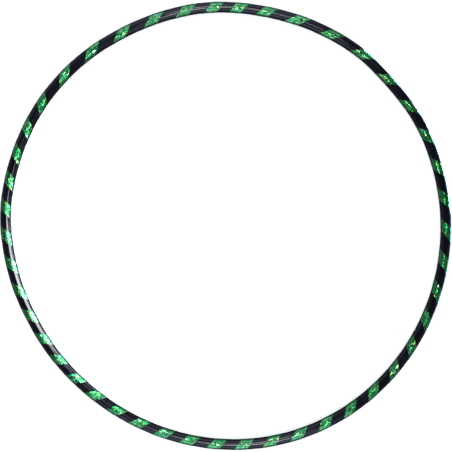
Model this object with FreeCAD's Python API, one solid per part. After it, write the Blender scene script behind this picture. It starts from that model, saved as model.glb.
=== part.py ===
import FreeCAD, Part
import math
import os

# Rhythmic gymnastics hoop.
#
# A black plastic pipe is bent into one ring. Its two ends meet in a butt joint, closed by a plug that
# is pushed into both of them and held by two blind rivets. One strip of metallic green tape is wound
# round the pipe as an open helix, so that bare pipe shows between its turns.
#
# The ring lies in the XY plane round the Z axis, with the middle of the pipe at z = 0. Lengths are in
# millimetres and angles in degrees. A place on the pipe is given by two angles: "along" runs round the
# ring from +X towards +Y, and "around" runs round the pipe's section, from 0 on the outer rim over the
# top (90) to the inner rim (180) and the underside (270).

# Ring and pipe
RING_INSIDE_DIAMETER = 800.0
PIPE_DIAMETER = 20.0
PIPE_WALL = 1.9
JOINT_ALONG = 184.6
JOINT_GAP = 0.3

# The bent pipe springs a little out of round: number of lobes, their height, direction of one of them
OUT_OF_ROUND = [(2, 4.3, 143.8), (3, 2.3, 45.8), (4, 0.4, 89.0)]

# Soft kinks left by bending and by the plug: place along the ring, reach in degrees, height
KINKS = [
    (26, 8, 0.7), (42, 8, -1.8), (51, 8, 1.0), (77, 8, -0.7), (96, 9, 1.5),
    (119, 8, -0.9), (160, 8, -0.4), (177, 8, 1.7), (205, 7, -1.1),
]

# Plug inside the butt joint
PLUG_LENGTH = 120.0
PLUG_WALL = 2.0
PLUG_CLEARANCE = 0.1

# Blind rivets, set from the inner rim through the pipe and the plug
RIVET_DIAMETER = 4.0
RIVET_HEAD_DIAMETER = 8.0
RIVET_HEAD_HEIGHT = 1.0
RIVET_TAIL_DIAMETER = 6.0
RIVET_TAIL_LENGTH = 3.5
RIVET_CLEARANCE = 0.05
STEM_DIAMETER = 2.2
STEM_HEAD_DIAMETER = 3.6
STEM_HEAD_LENGTH = 1.6
STEM_RECESS = 0.4
STEM_CLEARANCE = 0.03

# Tape, wound by hand: after so many turns, one turn advances so many degrees along the ring
TAPE_WIDTH = 18.0
TAPE_THICKNESS = 0.2
TAPE_GLUE = 0.02
TAPE_END_GAP = 1.0
TAPE_STARTS_AROUND = -90.0
WINDING = [
    (0, 7.6), (5, 6.8), (12, 7.1), (20, 7.7), (26, 8.4), (32, 9.9),
    (35, 6.1), (37, 8.9), (41, 9.6), (42, 7.2), (46, 7.1),
]

# How finely the curved surfaces are laid out
SECTION_STEP = 3.0
TAPE_POINTS_PER_TURN = 24
TAPE_POINTS_ACROSS = 5

PIPE_RADIUS = PIPE_DIAMETER / 2
BORE_RADIUS = PIPE_RADIUS - PIPE_WALL
RING_RADIUS = RING_INSIDE_DIAMETER / 2 + PIPE_RADIUS
PLUG_RADIUS = BORE_RADIUS - PLUG_CLEARANCE
PLUG_BORE_RADIUS = PLUG_RADIUS - PLUG_WALL
TURNS = WINDING[-1][0]


def outward(along):
    """The level direction that points away from the ring's axis."""
    angle = math.radians(along)
    return FreeCAD.Vector(math.cos(angle), math.sin(angle), 0)


def ring_radius(along):
    """The distance from the ring's axis to the middle of the pipe."""
    radius = RING_RADIUS
    for count, height, direction in OUT_OF_ROUND:
        radius += height * math.cos(math.radians(count * (along - direction)))
    for place, reach, height in KINKS:
        beside = (along - place + 180) % 360 - 180
        radius += height * math.exp(-(beside / reach) ** 2)
    return radius


def degrees_along(length, along):
    """The angle along the ring that a length of pipe takes up near one place."""
    return math.degrees(length / ring_radius(along))


def on_pipe(along, around, radius):
    """The point at a given distance from the middle of the pipe."""
    angle = math.radians(around)
    level = ring_radius(along) + radius * math.cos(angle)
    return outward(along) * level + FreeCAD.Vector(0, 0, radius * math.sin(angle))


def spaced(start, end, count):
    """Evenly spaced values, both ends included."""
    return [start + (end - start) * index / (count - 1) for index in range(count)]


def smooth_curve(points):
    """A curve through points that stand for equal steps."""
    curve = Part.BSplineCurve()
    curve.interpolate(Points=points, Parameters=spaced(0, 1, len(points)))
    return curve


def round_skin(radius, start, end):
    """The curved face of a round bar bent like the ring. Four rational arcs make its circular section."""
    places = spaced(start, end, max(4, math.ceil((end - start) / SECTION_STEP)) + 1)
    weights = [1, math.sqrt(0.5)] * 4 + [1]
    rails = []
    for number, weight in enumerate(weights):
        rails.append(smooth_curve([on_pipe(along, 45 * number, radius / weight) for along in places]))
    surface = Part.BSplineSurface()
    surface.buildFromPolesMultsKnots(
        list(zip(*[rail.getPoles() for rail in rails])),
        rails[0].getMultiplicities(), [3, 2, 2, 2, 3],
        rails[0].getKnots(), [0, 1, 2, 3, 4],
        False, False, rails[0].Degree, 2,
        [weights] * rails[0].NbPoles,
    )
    return surface.toShape()


def closed_solid(faces):
    """The solid inside a set of faces that meet along their edges."""
    shell = Part.Shell(faces)
    shell.sewShape()
    solid = Part.Solid(shell)
    if solid.Volume < 0:
        solid.reverse()
    return solid


def bent_bar(radii, start, end):
    """A bar with square-cut ends, bent like the ring: solid for one radius, a pipe for two."""
    skins = [round_skin(radius, start, end) for radius in radii]
    rims = zip(*[[edge for edge in skin.Edges if edge.isClosed()] for skin in skins])
    ends = [Part.makeFace([Part.Wire([edge]) for edge in rim], "Part::FaceMakerBullseye") for rim in rims]
    return closed_solid(skins + ends)


def pin(radius, low, high, along):
    """A round pin across the pipe, between two distances from its middle towards the ring's axis."""
    inward = outward(along) * -1
    return Part.makeCylinder(radius, high - low, on_pipe(along, 0, 0) + inward * low, inward)


def winding_angle(turn):
    """How far along the ring the middle of the tape has come after this many turns."""
    total = 0.0
    reached = 0.0
    for (start, pitch), (end, next_pitch) in zip(WINDING, WINDING[1:]):
        total += (end - start) * (pitch + next_pitch) / 2
        if turn > start:
            done = min(turn, end) - start
            change = (next_pitch - pitch) / (end - start)
            reached += pitch * done + change * done ** 2 / 2
    return 360 * reached / total


def inner_rim_angle(turn):
    """Where the tape's middle crosses the inner rim, on the turn that starts at this turn number."""
    return winding_angle(turn + (180 - TAPE_STARTS_AROUND) / 360)


def tape_along(turn):
    """Where the middle of the tape lies. Its first turn covers the butt joint on the inner rim."""
    return JOINT_ALONG + winding_angle(turn) - inner_rim_angle(0)


def tape_point(turn, across, radius):
    """A point on the tape: turn number, -1 to 1 from edge to edge, distance from the pipe's middle."""
    beside = 0.5
    start = max(turn - beside, 0)
    end = min(turn + beside, TURNS)
    pitch = (winding_angle(end) - winding_angle(start)) / (end - start)
    advance = math.radians(pitch) * RING_RADIUS
    width_along = TAPE_WIDTH * math.hypot(1, advance / (2 * math.pi * PIPE_RADIUS))
    along = tape_along(turn) + across * math.degrees(width_along / 2 / RING_RADIUS)
    return on_pipe(along, TAPE_STARTS_AROUND + 360 * turn, radius)


def hoop_tube():
    """The bent pipe, with one rivet hole near each end."""
    half_gap = degrees_along(JOINT_GAP / 2, JOINT_ALONG)
    radii = [PIPE_RADIUS, BORE_RADIUS]
    tube = bent_bar(radii, JOINT_ALONG + half_gap, JOINT_ALONG + 360 - half_gap)
    return tube.cut(rivet_holes())


def joint_connector():
    """The plug: a length of smaller pipe with the same two rivet holes."""
    half = degrees_along(PLUG_LENGTH / 2, JOINT_ALONG)
    plug = bent_bar([PLUG_RADIUS, PLUG_BORE_RADIUS], JOINT_ALONG - half, JOINT_ALONG + half)
    return plug.cut(rivet_holes())


def rivet_places():
    """The two rivets sit in bare pipe, half a turn of tape before and after the butt joint."""
    before = JOINT_ALONG - (360 - inner_rim_angle(TURNS - 1) + inner_rim_angle(0)) / 2
    after = JOINT_ALONG + (inner_rim_angle(1) - inner_rim_angle(0)) / 2
    return [before, after]


def rivet_holes():
    """The drill's path through the inner rim, for both rivets."""
    radius = RIVET_DIAMETER / 2 + RIVET_CLEARANCE
    high = PIPE_RADIUS + RIVET_HEAD_HEIGHT
    first, second = [pin(radius, 0, high, along) for along in rivet_places()]
    return first.fuse(second)


def rivet_body(along):
    """A domed head seated on the pipe, a shank, and a tail swelled against the plug's bore."""
    beside = degrees_along(RIVET_HEAD_DIAMETER, along)
    top = PIPE_RADIUS + RIVET_HEAD_HEIGHT
    tail_end = PLUG_BORE_RADIUS - RIVET_TAIL_LENGTH
    head_radius = RIVET_HEAD_DIAMETER / 2
    dome_radius = (head_radius ** 2 + RIVET_HEAD_HEIGHT ** 2) / (2 * RIVET_HEAD_HEIGHT)
    dome = Part.makeSphere(dome_radius, on_pipe(along, 180, top - dome_radius))
    seat = bent_bar([PIPE_RADIUS + RIVET_CLEARANCE], along - beside, along + beside)
    head = pin(head_radius, BORE_RADIUS, top, along).common(dome).cut(seat)
    bore = bent_bar([PLUG_BORE_RADIUS - RIVET_CLEARANCE], along - beside, along + beside)
    tail = pin(RIVET_TAIL_DIAMETER / 2, tail_end, PLUG_BORE_RADIUS, along).common(bore)
    shank = pin(RIVET_DIAMETER / 2, tail_end, PIPE_RADIUS + RIVET_HEAD_HEIGHT / 2, along)
    hole = pin(STEM_DIAMETER / 2 + STEM_CLEARANCE, 0, top, along)
    return head.fuse([shank, tail]).cut(hole).removeSplitter()


def rivet_mandrel(along):
    """The stem left in a set rivet: a rod through the body, with its head behind the tail."""
    tail_end = PLUG_BORE_RADIUS - RIVET_TAIL_LENGTH
    stem_end = PIPE_RADIUS + RIVET_HEAD_HEIGHT - STEM_RECESS
    stem = pin(STEM_DIAMETER / 2, tail_end - STEM_HEAD_LENGTH, stem_end, along)
    head = pin(STEM_HEAD_DIAMETER / 2, tail_end - STEM_HEAD_LENGTH, tail_end, along)
    return stem.fuse(head).removeSplitter()


def grid_face(point, rows, columns):
    """A smooth face through a grid of points: curves down its columns, then curves across their poles."""
    down = [smooth_curve([point(row, column) for row in rows]) for column in columns]
    across = [smooth_curve(poles) for poles in zip(*[curve.getPoles() for curve in down])]
    surface = Part.BSplineSurface()
    surface.buildFromPolesMultsKnots(
        [curve.getPoles() for curve in across],
        down[0].getMultiplicities(), across[0].getMultiplicities(),
        down[0].getKnots(), across[0].getKnots(),
        False, False, down[0].Degree, across[0].Degree,
    )
    return surface.toShape()


def green_tape():
    """The whole strip in one piece, from its start under the joint round to the same place again."""
    under = PIPE_RADIUS + TAPE_GLUE
    over = under + TAPE_THICKNESS
    turn_length = math.hypot(2 * math.pi * PIPE_RADIUS, 2 * math.pi * RING_RADIUS / TURNS)
    last = TURNS - TAPE_END_GAP / turn_length
    turns = spaced(0, last, TURNS * TAPE_POINTS_PER_TURN + 1)
    across = spaced(-1, 1, TAPE_POINTS_ACROSS)
    top = grid_face(lambda turn, side: tape_point(turn, side, over), turns, across)
    back = grid_face(lambda turn, side: tape_point(turn, side, under), turns, across)
    walls = [Part.makeRuledSurface(one, other) for one, other in zip(top.Edges, back.Edges)]
    return closed_solid([top, back] + walls)


def write(name, solids):
    """One STEP file for each node."""
    shape = solids[0] if len(solids) == 1 else Part.makeCompound(solids)
    shape.exportStep(os.path.join("parts", name + ".step"))
    print(name, len(shape.Solids), "solid(s)", round(shape.Volume), "mm3", shape.isValid())


os.makedirs("parts", exist_ok=True)
write("hoop_tube", [hoop_tube()])
write("joint_connector", [joint_connector()])
write("rivet_bodies", [rivet_body(along) for along in rivet_places()])
write("rivet_mandrels", [rivet_mandrel(along) for along in rivet_places()])
write("green_tape", [green_tape()])
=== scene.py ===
import bpy
import numpy as np
from mathutils import Matrix, Vector


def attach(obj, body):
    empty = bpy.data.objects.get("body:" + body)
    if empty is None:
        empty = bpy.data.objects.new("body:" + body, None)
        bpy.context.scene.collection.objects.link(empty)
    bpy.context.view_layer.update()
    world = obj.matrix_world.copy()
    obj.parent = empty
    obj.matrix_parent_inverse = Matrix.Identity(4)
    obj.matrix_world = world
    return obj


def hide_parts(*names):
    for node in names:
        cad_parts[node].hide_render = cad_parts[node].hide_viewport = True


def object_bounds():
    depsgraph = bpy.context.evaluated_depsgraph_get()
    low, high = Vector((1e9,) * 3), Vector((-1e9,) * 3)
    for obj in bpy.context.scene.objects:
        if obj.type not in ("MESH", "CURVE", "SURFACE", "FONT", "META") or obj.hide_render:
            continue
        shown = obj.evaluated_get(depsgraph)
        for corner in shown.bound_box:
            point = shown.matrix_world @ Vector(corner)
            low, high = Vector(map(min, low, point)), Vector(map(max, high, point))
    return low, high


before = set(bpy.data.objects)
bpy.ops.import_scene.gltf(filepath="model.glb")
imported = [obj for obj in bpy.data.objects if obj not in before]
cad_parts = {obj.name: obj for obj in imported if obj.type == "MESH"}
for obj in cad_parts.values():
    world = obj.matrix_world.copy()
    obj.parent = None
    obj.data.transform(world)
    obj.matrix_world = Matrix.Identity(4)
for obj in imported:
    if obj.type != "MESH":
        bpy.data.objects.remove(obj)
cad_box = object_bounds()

# ---------------------------------------------------------------------------------------------------
# The pipe. Black polyethylene water pipe, extruded, cut to length and bent into one ring. Its ends
# meet square at the butt joint, and one rivet hole is drilled through the inner rim near each end.
# ---------------------------------------------------------------------------------------------------
RING_RADIUS = 0.410
PIPE_RADIUS = 0.010
BORE_RADIUS = 0.0081
JOINT_ALONG = 184.6
JOINT_GAP = 0.0003
CUT_CHAMFER = 0.0002
ROWS_OUTSIDE = 1300
ROWS_INSIDE = 420
PIPE_SIDES = 44

# How many lobes, how far they spring out and in, and the angle that one of them points to. Below, the
# place and the reach of each kink, as angles along the ring, and how far it stands out.
OUT_OF_ROUND = ((2, 0.0043, 143.8), (3, 0.0023, 45.8), (4, 0.0004, 89.0))
KINKS = (
    (26, 8, 0.0007), (42, 8, -0.0018), (51, 8, 0.0010), (77, 8, -0.0007), (96, 9, 0.0015),
    (119, 8, -0.0009), (160, 8, -0.0004), (177, 8, 0.0017), (205, 7, -0.0011),
)


def ring_radius(along):
    """From the ring's axis to the middle of the pipe: a circle, plus a cosine wave for each number of
    lobes that the bent pipe springs into, plus a bell-shaped bump for each soft kink."""
    lobes = sum(
        height * np.cos(np.radians(count * (along - towards))) for count, height, towards in OUT_OF_ROUND)
    kinks = sum(
        height * np.exp(-(((along - place + 180) % 360 - 180) / reach) ** 2)
        for place, reach, height in KINKS)
    return RING_RADIUS + lobes + kinks


def on_pipe(along, around, radius):
    """A point at an angle along the ring and an angle around the pipe, 0 on the outer rim and 90 on top.
    Its distance from the ring's axis is the ring's radius there plus radius times the cosine of around,
    and its height is radius times the sine of around."""
    level = ring_radius(along) + radius * np.cos(np.radians(around))
    return np.stack([
        level * np.cos(np.radians(along)),
        level * np.sin(np.radians(along)),
        radius * np.sin(np.radians(around)) + 0 * level,
    ], axis=-1)


def skin(name, points, flat, joined_ends):
    """A mesh over a grid of points whose columns close on themselves. Each face joins a point with the
    next one in its row and its column. With joined ends the last row meets the first, and otherwise
    one flat face closes each end. flat is the same surface laid out flat in metres, one row and one
    column longer where the grid closes, and becomes the UV map."""
    rows, columns = points.shape[:2]
    number = np.arange(rows * columns).reshape(rows, columns)
    following = np.roll(number, -1, axis=0)
    faces = np.stack([number, np.roll(number, -1, 1), np.roll(following, -1, 1), following], -1)
    corners = np.stack([flat[:-1, :-1], flat[:-1, 1:], flat[1:, 1:], flat[1:, :-1]], 2)
    faces = (faces if joined_ends else faces[:-1]).reshape(-1, 4).tolist()
    corners = corners.reshape(-1, 2)
    if not joined_ends:
        faces += [number[0, ::-1].tolist(), number[-1].tolist()]
        corners = np.concatenate([corners, flat[0, :-1][::-1], flat[-1, :-1]])
    mesh = bpy.data.meshes.new(name)
    mesh.from_pydata(points.reshape(-1, 3), [], faces)
    mesh.uv_layers.new(name="laid_flat").data.foreach_set("uv", corners.astype(np.float32).ravel())
    mesh.shade_smooth()
    mesh.set_sharp_from_angle(angle=np.radians(40))
    mesh.validate()
    piece = bpy.data.objects.new(name, mesh)
    bpy.context.scene.collection.objects.link(piece)
    return piece


half_gap = np.degrees(JOINT_GAP / 2 / RING_RADIUS)
half_cut = half_gap + np.degrees(CUT_CHAMFER / RING_RADIUS)
outside = np.linspace(half_cut, 360 - half_cut, ROWS_OUTSIDE)
inside = np.linspace(360 - half_cut, half_cut, ROWS_INSIDE)
pipe_along = JOINT_ALONG + np.concatenate([outside, [360 - half_gap] * 2, inside, [half_gap] * 2])
pipe_radius = np.concatenate([
    np.full(ROWS_OUTSIDE, PIPE_RADIUS), [PIPE_RADIUS - CUT_CHAMFER, BORE_RADIUS + CUT_CHAMFER],
    np.full(ROWS_INSIDE, BORE_RADIUS), [BORE_RADIUS + CUT_CHAMFER, PIPE_RADIUS - CUT_CHAMFER],
])
pipe_around = np.linspace(0, 360, PIPE_SIDES + 1)
pipe_flat = np.stack(np.meshgrid(
    np.radians(np.append(pipe_along, pipe_along[0])) * RING_RADIUS,
    np.radians(pipe_around) * PIPE_RADIUS, indexing="ij",
), -1)
pipe = skin(
    "pipe", on_pipe(pipe_along[:, None], pipe_around[None, :-1], pipe_radius[:, None]), pipe_flat, True)

# The rivet holes are drilled where the two stems stand, one each side of the joint: halfway between the
# least and the greatest angle along the ring of each stem's points.
stem_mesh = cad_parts["rivet_mandrels"].data
stem_points = np.empty(len(stem_mesh.vertices) * 3)
stem_mesh.vertices.foreach_get("co", stem_points)
stem_along = np.degrees(np.arctan2(stem_points[1::3], stem_points[0::3])) % 360
before, after = stem_along[stem_along < JOINT_ALONG], stem_along[stem_along > JOINT_ALONG]
rivets_along = [(stem.min() + stem.max()) / 2 for stem in (before, after)]

# The drill's path is a round bar from the bore out through the inner rim: a circle of points about the
# line around = 180, once inside the bore and once outside the pipe.
RIVET_HOLE_RADIUS = 0.00205
DRILL_SIDES = 48
DRILL_START = 0.002
DRILL_END = 0.014
drill_turn = np.radians(np.linspace(0, 360, DRILL_SIDES + 1)[:-1])
sideways = RIVET_HOLE_RADIUS * np.cos(drill_turn)
upwards = RIVET_HOLE_RADIUS * np.sin(drill_turn)
for hole in rivets_along:
    out, aside = np.radians(hole), np.radians(hole + 90)
    reach = ring_radius(hole) - np.array([DRILL_START, DRILL_END])[:, None]
    bar = np.stack([
        reach * np.cos(out) + sideways * np.cos(aside), reach * np.sin(out) + sideways * np.sin(aside),
        upwards + 0 * reach], -1)
    drill = skin("drill", bar, np.zeros((2, DRILL_SIDES + 1, 2)), False)
    drilled = pipe.modifiers.new("drilled", "BOOLEAN")
    drilled.operation, drilled.solver, drilled.object = "DIFFERENCE", "EXACT", drill
    pipe.data = bpy.data.meshes.new_from_object(pipe.evaluated_get(bpy.context.evaluated_depsgraph_get()))
    pipe.modifiers.clear()
    bpy.data.objects.remove(drill)
pipe.data.set_sharp_from_angle(angle=np.radians(40))


def linear(colour):
    """An sRGB hex colour turned to linear light, with full opacity."""
    shares = np.array([int(colour[place:place + 2], 16) for place in (1, 3, 5)]) / 255
    light = np.where(shares > 0.04045, ((shares + 0.055) / 1.055) ** 2.4, shares / 12.92)
    return (*light.tolist(), 1.0)


def finish(name, *pieces):
    """A new material on these pieces, with its nodes still to be added."""
    material = bpy.data.materials.new(name)
    material.use_nodes = True
    material.node_tree.nodes.clear()
    for piece in pieces:
        piece.data.materials.clear()
        piece.data.materials.append(material)
    return material.node_tree


def add(tree, kind, inputs=(), **settings):
    """Adds one node with its settings. Each input, by name or number, gets a value or a link."""
    node = tree.nodes.new("ShaderNode" + kind)
    for setting, value in settings.items():
        setattr(node, setting, value)
    for socket, value in dict(inputs).items():
        if isinstance(value, bpy.types.NodeSocket):
            tree.links.new(value, node.inputs[socket])
        else:
            node.inputs[socket].default_value = value
    return node.outputs


# Extruded polyethylene: glossy, a little violet, with faint die lines drawn out along the pipe, and
# dull scuffs where it has rolled and been caught. The lines are about 1.5 mm apart.
black = finish("extruded_black_polyethylene", pipe)
flat = add(black, "UVMap", uv_map="laid_flat")["UV"]
lengthwise = add(black, "Mapping", {"Vector": flat, "Scale": (5, 650, 1)})[0]
die_lines = add(black, "TexNoise", {"Vector": lengthwise, "Scale": 1, "Detail": 2}, noise_dimensions="2D")[0]
patches = add(black, "TexNoise", {"Vector": flat, "Scale": 38, "Detail": 4}, noise_dimensions="2D")[0]
drawn = add(black, "Mapping", {"Vector": flat, "Scale": (70, 330, 1), "Rotation": (0, 0, 0.25)})[0]
scratches = add(
    black, "TexNoise", {"Vector": drawn, "Scale": 1, "Detail": 3, "Roughness": 0.6}, noise_dimensions="2D")[0]
scuffed = add(black, "MapRange", {"Value": scratches, "From Min": 0.66, "From Max": 0.78})[0]
cloudy = add(
    black, "MapRange",
    {"Value": patches, "From Min": 0.35, "From Max": 0.7, "To Min": 0.09, "To Max": 0.14})[0]
rough = add(black, "Math", {0: scuffed, 1: 0.12, 2: cloudy}, operation="MULTIPLY_ADD")[0]
tint = add(black, "ValToRGB", {"Fac": patches})
ramp = black.nodes[-1].color_ramp
ramp.elements[0].position, ramp.elements[0].color = 0.35, linear("#0b0a12")
ramp.elements[1].position, ramp.elements[1].color = 0.70, linear("#12111c")
greyed = add(black, "Mix", {0: scuffed, 6: tint["Color"], 7: linear("#201f27")}, data_type="RGBA")[2]
lined = add(black, "Bump", {"Strength": 0.05, "Distance": 0.00003, "Height": die_lines})[0]
marked = add(black, "Bump", {"Strength": 0.05, "Distance": 0.00004, "Height": scratches, "Normal": lined})[0]
skin_shader = add(
    black, "BsdfPrincipled", {"Base Color": greyed, "Roughness": rough, "IOR": 1.51, "Normal": marked})
add(black, "OutputMaterial", {"Surface": skin_shader[0]})

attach(pipe, "root")
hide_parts("hoop_tube")

# ---------------------------------------------------------------------------------------------------
# The plug. A length of smaller black plastic pipe pushed into both ends, which holds the butt joint
# closed. Only the gap in the joint shows it.
# ---------------------------------------------------------------------------------------------------
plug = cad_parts["joint_connector"]

# Recycled polypropylene, extruded: dull black, with a coarse grain of about 0.6 mm.
dull = finish("dull_black_polypropylene", plug)
place = add(dull, "TexCoord")["Object"]
grain = add(dull, "TexNoise", {"Vector": place, "Scale": 1600, "Detail": 3})[0]
grey = add(dull, "Mix", {0: grain, 6: linear("#1f1f20"), 7: linear("#34343a")}, data_type="RGBA")[2]
rubbed = add(dull, "MapRange", {"Value": grain, "To Min": 0.48, "To Max": 0.68})[0]
pitted = add(dull, "Bump", {"Strength": 0.4, "Distance": 0.0001, "Height": grain})[0]
plug_shader = add(
    dull, "BsdfPrincipled", {"Base Color": grey, "Roughness": rubbed, "IOR": 1.49, "Normal": pitted})
add(dull, "OutputMaterial", {"Surface": plug_shader[0]})

# ---------------------------------------------------------------------------------------------------
# The rivets. Two aluminium blind rivets set from the inner rim through the pipe and the plug, each with
# the broken stem of its steel mandrel left in its bore.
# ---------------------------------------------------------------------------------------------------
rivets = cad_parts["rivet_bodies"]
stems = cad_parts["rivet_mandrels"]

# Cold-headed aluminium: satin, with fine tumbling marks about 0.5 mm across.
satin = finish("tumbled_aluminium", rivets)
place = add(satin, "TexCoord")["Object"]
tumbled = add(satin, "TexNoise", {"Vector": place, "Scale": 2100, "Detail": 4, "Roughness": 0.6})[0]
silver = add(satin, "Mix", {0: tumbled, 6: linear("#b9bbbf"), 7: linear("#dfe0e2")}, data_type="RGBA")[2]
polish = add(satin, "MapRange", {"Value": tumbled, "To Min": 0.26, "To Max": 0.46})[0]
dented = add(satin, "Bump", {"Strength": 0.3, "Distance": 0.00006, "Height": tumbled})[0]
rivet_shader = add(
    satin, "BsdfPrincipled", {"Base Color": silver, "Metallic": 1, "Roughness": polish, "Normal": dented})
add(satin, "OutputMaterial", {"Surface": rivet_shader[0]})

# Zinc-plated steel, snapped off: greyer and rougher, with a crystalline break of about 0.3 mm.
broken = finish("snapped_zinc_plated_steel", stems)
place = add(broken, "TexCoord")["Object"]
crystals = add(broken, "TexVoronoi", {"Vector": place, "Scale": 3300}, feature="F1")
grained = crystals["Distance"]
steel = add(broken, "Mix", {0: grained, 6: linear("#a7a6a2"), 7: linear("#74736f")}, data_type="RGBA")[2]
torn = add(broken, "Bump", {"Strength": 0.6, "Distance": 0.00008, "Height": grained})[0]
stem_shader = add(
    broken, "BsdfPrincipled", {"Base Color": steel, "Metallic": 1, "Roughness": 0.5, "Normal": torn})
add(broken, "OutputMaterial", {"Surface": stem_shader[0]})

# ---------------------------------------------------------------------------------------------------
# The tape. One strip of green holographic film with a glued back, 18 mm wide, wound round the pipe by
# hand as an open helix of 46 turns. Its two cut ends meet on the underside, 40 mm from the butt joint.
# ---------------------------------------------------------------------------------------------------
TURNS = 46
TURNS_BEFORE_JOINT = 0.75
STEPS_A_TURN = 64
TAPE_WIDTH = 0.018
TAPE_THICKNESS = 0.0002
TAPE_EDGE_DROP = 0.00003
TAPE_END_GAP = 0.001
GLUE_GAP = 0.00002

# Turns of the winding, and its pitch at each, in degrees along the ring.
WOUND = np.array([
    (0, 7.6), (5, 6.8), (12, 7.1), (20, 7.7), (26, 8.4), (32, 9.9),
    (35, 6.1), (37, 8.9), (41, 9.6), (42, 7.2), (46, 7.1),
])


def winding_angle(turn):
    """How far along the ring the winding has come: the pitch in degrees a turn, which runs straight
    from each listed turn to the next, added up to this turn and scaled to close at 360 degrees."""
    starts, pitches = WOUND.T
    steps = np.diff(starts)
    slopes = np.diff(pitches) / steps
    done = np.clip(np.asarray(turn)[..., None] - starts[:-1], 0, steps)
    reached = (pitches[:-1] * done + slopes * done ** 2 / 2).sum(-1)
    return 360 * reached / (steps * (pitches[:-1] + pitches[1:]) / 2).sum()


def on_tape(turn, across, radius):
    """A point on the wound strip. Its middle goes once around the pipe in each turn while it advances
    along the ring. Its width, measured along the pipe, is the strip's width over the cosine of the
    winding's lean, and across runs from -1 on one edge to 1 on the other."""
    start, end = np.maximum(turn - 0.5, 0), np.minimum(turn + 0.5, TURNS)
    pitch = (winding_angle(end) - winding_angle(start)) / (end - start)
    lean = np.radians(pitch) * RING_RADIUS / (2 * np.pi * PIPE_RADIUS)
    half_width = np.degrees(TAPE_WIDTH * np.hypot(1, lean) / 2 / RING_RADIUS)
    along = JOINT_ALONG + winding_angle(turn) - winding_angle(TURNS_BEFORE_JOINT) + across * half_width
    return on_pipe(along, -90 + 360 * turn, radius)


turn_length = np.hypot(2 * np.pi * PIPE_RADIUS, 2 * np.pi * RING_RADIUS / TURNS)
tape_turns = np.linspace(0, TURNS - TAPE_END_GAP / turn_length, TURNS * STEPS_A_TURN + 1)
top_across = np.array([
    -0.996, -0.97, -0.9, -0.72, -0.48, -0.24, 0, 0.24, 0.48, 0.72, 0.9, 0.97, 0.996])
back_across = np.array([0.996, 0.7, 0.35, 0, -0.35, -0.7, -0.996])
tape_across = np.concatenate([[-1], top_across, [1], back_across])
top_rise = TAPE_THICKNESS - TAPE_EDGE_DROP * (np.abs(top_across) > 0.99)
tape_rise = np.concatenate([[TAPE_THICKNESS / 2], top_rise, [TAPE_THICKNESS / 2], 0 * back_across])

# On the inner rim the strip has more width than room, so it puckers there. Three sines of the distance
# along the strip are added up, and what is above zero lifts it, most at its edges and where around
# points inwards.
PUCKER_HEIGHT = 0.00006
drift = np.random.default_rng(11)
length_along = tape_turns[:, None] * turn_length
pucker = sum(
    np.sin(2 * np.pi * length_along / pitch + drift.uniform(0, 6.3) + lead * tape_across[None, :])
    for pitch, lead in ((0.0071, 1.3), (0.0053, -2.1), (0.0117, 0.6)))
inwards = np.clip(-np.cos(2 * np.pi * (tape_turns[:, None] - 0.25)), 0, 1) ** 2
edges = 0.35 + 0.65 * np.abs(tape_across[None, :]) ** 3
lifted = PUCKER_HEIGHT * inwards * np.clip(pucker, 0, None) * edges
tape_radius = PIPE_RADIUS + GLUE_GAP + tape_rise[None, :] + lifted
tape_points = on_tape(tape_turns[:, None], tape_across[None, :], tape_radius)
tape_flat = np.stack(np.meshgrid(
    tape_turns * turn_length, np.append(tape_across, tape_across[0]) * TAPE_WIDTH / 2, indexing="ij"), -1)
tape = skin("tape", tape_points, tape_flat, False)

# Metallised polyester film, embossed with a hologram: a clear glossy face over green metal. The metal
# is broken into cells of about 2 mm that lean different ways, so some flash while others stay dark, in
# patches of about 4 mm that differ in hue. Round sequins and dots about 6 mm apart are smoother and paler,
# and flash white in a strong light. The real cells are finer: they are drawn this coarse so that they show.
green = finish("green_holographic_film", tape)
flat = add(green, "UVMap", uv_map="laid_flat")["UV"]
cells = add(green, "TexVoronoi", {"Vector": flat, "Scale": 540}, voronoi_dimensions="2D")
flakes = add(green, "TexVoronoi", {"Vector": flat, "Scale": 260}, voronoi_dimensions="2D")
marks = add(green, "TexVoronoi", {"Vector": flat, "Scale": 155, "Randomness": 0.5}, voronoi_dimensions="2D")
chosen = add(green, "SeparateColor", {"Color": marks["Color"]})
rim = add(green, "Math", {0: marks["Distance"], 1: 0.29, 2: 0.07}, operation="COMPARE")[0]
eye = add(green, "Math", {0: marks["Distance"], 1: 0.11}, operation="LESS_THAN")[0]
sequin = add(green, "Math", {0: rim, 1: eye}, operation="MAXIMUM")[0]
dot = add(green, "Math", {0: marks["Distance"], 1: 0.19}, operation="LESS_THAN")[0]
is_dot = add(green, "Math", {0: chosen["Red"], 1: 0.6}, operation="GREATER_THAN")[0]
mark = add(green, "Mix", {0: is_dot, 2: sequin, 3: dot})[0]
lean = add(green, "Mix", {0: mark, 6: cells["Color"], 7: marks["Color"]}, data_type="RGBA")[2]
middle = add(green, "VectorMath", {0: lean, 1: (0.5, 0.5, 0.5)}, operation="SUBTRACT")[0]
sloped = add(
    green, "VectorMath", {0: middle, 1: (0.20, 0.20, 0.0), 2: (0.5, 0.5, 1.0)}, operation="MULTIPLY_ADD")[0]
facing = add(green, "NormalMap", {"Color": sloped}, uv_map="laid_flat")[0]
flake = add(green, "SeparateColor", {"Color": flakes["Color"]})
hue = add(green, "ValToRGB", {"Fac": flake["Red"]})
ramp = green.nodes[-1].color_ramp
ramp.elements[0].position, ramp.elements[0].color = 0.0, linear("#54b84c")
ramp.elements[1].position, ramp.elements[1].color = 1.0, linear("#30c488")
for position, colour in ((0.2, "#34c05c"), (0.5, "#30c464"), (0.8, "#28b068")):
    ramp.elements.new(position).color = linear(colour)
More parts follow.
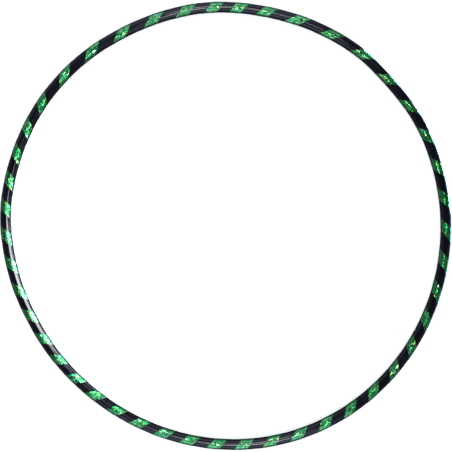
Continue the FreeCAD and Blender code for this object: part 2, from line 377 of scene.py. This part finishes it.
pressed = add(
    green, "Mix", {0: chosen["Blue"], 6: linear("#b4c868"), 7: linear("#98ecb8")}, data_type="RGBA")[2]
flashed = add(green, "Mix", {0: mark, 6: hue["Color"], 7: pressed}, data_type="RGBA")[2]
wavy = add(green, "TexNoise", {"Vector": flat, "Scale": 60, "Detail": 3}, noise_dimensions="2D")[0]
dull_film = add(
    green, "MapRange", {"Value": wavy, "From Min": 0.3, "From Max": 0.7, "To Min": 0.20, "To Max": 0.27})[0]
film_rough = add(green, "Mix", {0: mark, 2: dull_film, 3: 0.14})[0]
film = add(green, "BsdfPrincipled", {
    "Base Color": flashed, "Metallic": 1, "Roughness": film_rough, "Normal": facing,
    "Coat Weight": 0.8, "Coat Roughness": 0.14, "Coat IOR": 1.5,
})
add(green, "OutputMaterial", {"Surface": film[0]})

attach(tape, "root")
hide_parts("green_tape")

# ---------------------------------------------------------------------------------------------------
# The studio. The hoop lies on a wide white table that curves up into a pale backdrop. The table is left
# out of reflections, as if the hoop were held well clear of it, and lets light from below through.
# ---------------------------------------------------------------------------------------------------
TABLE_HEIGHT = cad_box[0].z
TABLE_SIDES = 96
COVE_RADIUS = 7.0
COVE_HEIGHT = 5.0

# A flat disc whose rim sweeps up in a quarter circle: the radius and the height follow one arc.
sweep = np.linspace(0, np.pi / 2, 24)[1:]
level_out = np.concatenate([[0.001], COVE_RADIUS * np.linspace(0.02, 1, 16)])
profile_out = np.concatenate([level_out, COVE_RADIUS + COVE_HEIGHT * np.sin(sweep)])
profile_up = np.concatenate([0 * level_out, COVE_HEIGHT * (1 - np.cos(sweep))]) + TABLE_HEIGHT
round_angle = np.linspace(0, 2 * np.pi, TABLE_SIDES + 1)[:-1]
table_points = np.stack([
    profile_out[:, None] * np.cos(round_angle), profile_out[:, None] * np.sin(round_angle),
    profile_up[:, None] + 0 * round_angle], -1)
number = np.arange(len(table_points) * TABLE_SIDES).reshape(-1, TABLE_SIDES)
beside = np.roll(number, -1, 1)
table_faces = np.stack([number[:-1], number[1:], beside[1:], beside[:-1]], -1).reshape(-1, 4)
table_mesh = bpy.data.meshes.new("table")
table_mesh.from_pydata(table_points.reshape(-1, 3), [], table_faces.tolist() + [number[0].tolist()])
table_mesh.shade_smooth()
table = bpy.data.objects.new("table", table_mesh)
bpy.context.scene.collection.objects.link(table)
table.visible_glossy = False
table.visible_shadow = False

lit = finish("lit_white_table", table)
place = add(lit, "TexCoord")["Object"]
mottled = add(lit, "TexNoise", {"Vector": place, "Scale": 2.5, "Detail": 2})[0]
white = add(lit, "Mix", {0: mottled, 6: linear("#f4f4f5"), 7: linear("#fbfbfb")}, data_type="RGBA")[2]
table_shader = add(lit, "BsdfPrincipled", {
    "Base Color": white, "Roughness": 0.9, "Specular IOR Level": 0.0,
    "Emission Color": (1, 1, 1, 1), "Emission Strength": 0.66})
add(lit, "OutputMaterial", {"Surface": table_shader[0]})

# The room: dim overhead and underfoot, and paler towards the horizon.
room = bpy.data.worlds.new("room")
bpy.context.scene.world = room
room.use_nodes = True
room.node_tree.nodes.clear()
sky = room.node_tree
direction = add(sky, "TexCoord")["Generated"]
height = add(sky, "SeparateXYZ", {0: direction})["Z"]
rise = add(sky, "MapRange", {"Value": height, "From Min": -1, "From Max": 1})[0]
shade = add(sky, "ValToRGB", {"Fac": rise})
ramp = sky.nodes[-1].color_ramp
ramp.elements[0].position, ramp.elements[0].color = 0.0, (0.08, 0.08, 0.09, 1)
ramp.elements[1].position, ramp.elements[1].color = 1.0, (0.03, 0.031, 0.036, 1)
for position, grey in ((0.35, 0.10), (0.5, 0.22), (0.65, 0.15), (0.85, 0.085), (0.95, 0.05)):
    ramp.elements.new(position).color = (grey, grey * 1.02, grey * 1.12, 1)
walls = add(sky, "Background", {"Color": shade["Color"], "Strength": 1.0})
add(sky, "OutputWorld", {"Surface": walls[0]})


def soft_box(name, start, end, width, brightness, facing=(0, 0, 0), colour=(1, 1, 1), grid=180):
    """A rectangular light laid from one point to another and turned to face a third. Its power is its
    brightness times pi times its area, which makes brightness the radiance of a bare face. A grid gathers
    the same power within an angle, so from the front the light looks brighter, about 10 times at 60."""
    start, end, facing = Vector(start), Vector(end), Vector(facing)
    middle = (start + end) / 2
    light = bpy.data.lights.new(name, "AREA")
    light.shape = "RECTANGLE"
    light.size, light.size_y = width, (end - start).length
    light.energy = brightness * np.pi * light.size * light.size_y
    light.color = colour
    light.spread = np.radians(grid)
    back = (middle - facing).normalized()
    side = (end - start).cross(back).normalized()
    lamp = bpy.data.objects.new(name, light)
    turned = Matrix((side, back.cross(side), back)).transposed().to_4x4()
    lamp.matrix_world = Matrix.Translation(middle) @ turned
    lamp.visible_camera = False
    bpy.context.scene.collection.objects.link(lamp)


DAYLIGHT = (0.78, 0.91, 1.28)
SKY = (0.60, 0.85, 1.35)
LEFT_RIM = (-0.40, -0.12, 0)

# Overhead, two long tubes draw the thin bright line along the top of the pipe, with two dim panels above.
soft_box("rear_tube", (-0.53, 2.4, 5.0), (0.3, 0.55, 5.0), 0.32, 10.0)
soft_box("front_tube", (0.64, -2.4, 5.0), (-0.2, -0.6, 5.0), 0.32, 14.0)
soft_box("rear_overhead", (-0.1, 0.8, 5.4), (-0.1, 2.7, 5.4), 1.6, 0.42, colour=DAYLIGHT)
soft_box("front_overhead", (0.1, -0.8, 5.4), (0.1, -2.7, 5.4), 1.6, 0.42, colour=DAYLIGHT)

# A tall window inside the ring, in two parts, makes the film flash on the left rim.
soft_box(
    "window_low", (0.246, 0.172, 0.075), (0.327, 0.125, 0.453), 0.16, 2.1, facing=LEFT_RIM, grid=60)
soft_box(
    "window_high", (0.327, 0.125, 0.453), (0.22, 0.045, 0.99), 0.20, 2.0, facing=LEFT_RIM, grid=60)

# Three low boxes outside the right rim, and below the table, give its outer edge a line of blue.
soft_box(
    "sill_rear", (0.42, 0.54, -0.17), (0.61, 0.31, -0.17), 0.14, 3.6,
    facing=(0.32, 0.26, 0), colour=SKY, grid=80)
soft_box(
    "sill_middle", (0.61, 0.31, -0.15), (0.68, 0.04, -0.15), 0.16, 4.5,
    facing=(0.40, 0.10, 0), colour=SKY, grid=80)
soft_box(
    "sill_front", (0.68, 0.02, -0.22), (0.62, -0.29, -0.22), 0.10, 0.9,
    facing=(0.40, -0.08, 0), colour=SKY, grid=80)

# Three wide fills stand round the hoop and light the sides of the pipe and the film.
soft_box("front_fill", (-1.8, -2.6, 1.5), (1.5, -2.6, 1.5), 2.6, 1.0, colour=DAYLIGHT)
soft_box("rear_fill", (-1.6, 2.6, 1.3), (1.2, 2.6, 1.3), 2.0, 0.85, colour=DAYLIGHT)
soft_box("corner_fill", (-2.5, 0.9, 1.2), (-1.7, 2.1, 1.2), 1.8, 0.30, colour=DAYLIGHT)

# The camera looks straight down on the hoop, with its top towards +Y.
CAMERA_PLACE = (-0.0020, -0.0014, 2.0)
lens = bpy.data.cameras.new("camera")
lens.lens, lens.sensor_width = 85, 36
lens.clip_end = 60
camera = bpy.data.objects.new("camera", lens)
camera.location = CAMERA_PLACE
bpy.context.scene.collection.objects.link(camera)
bpy.context.scene.camera = camera
bpy.context.scene.view_settings.view_transform = "Standard"
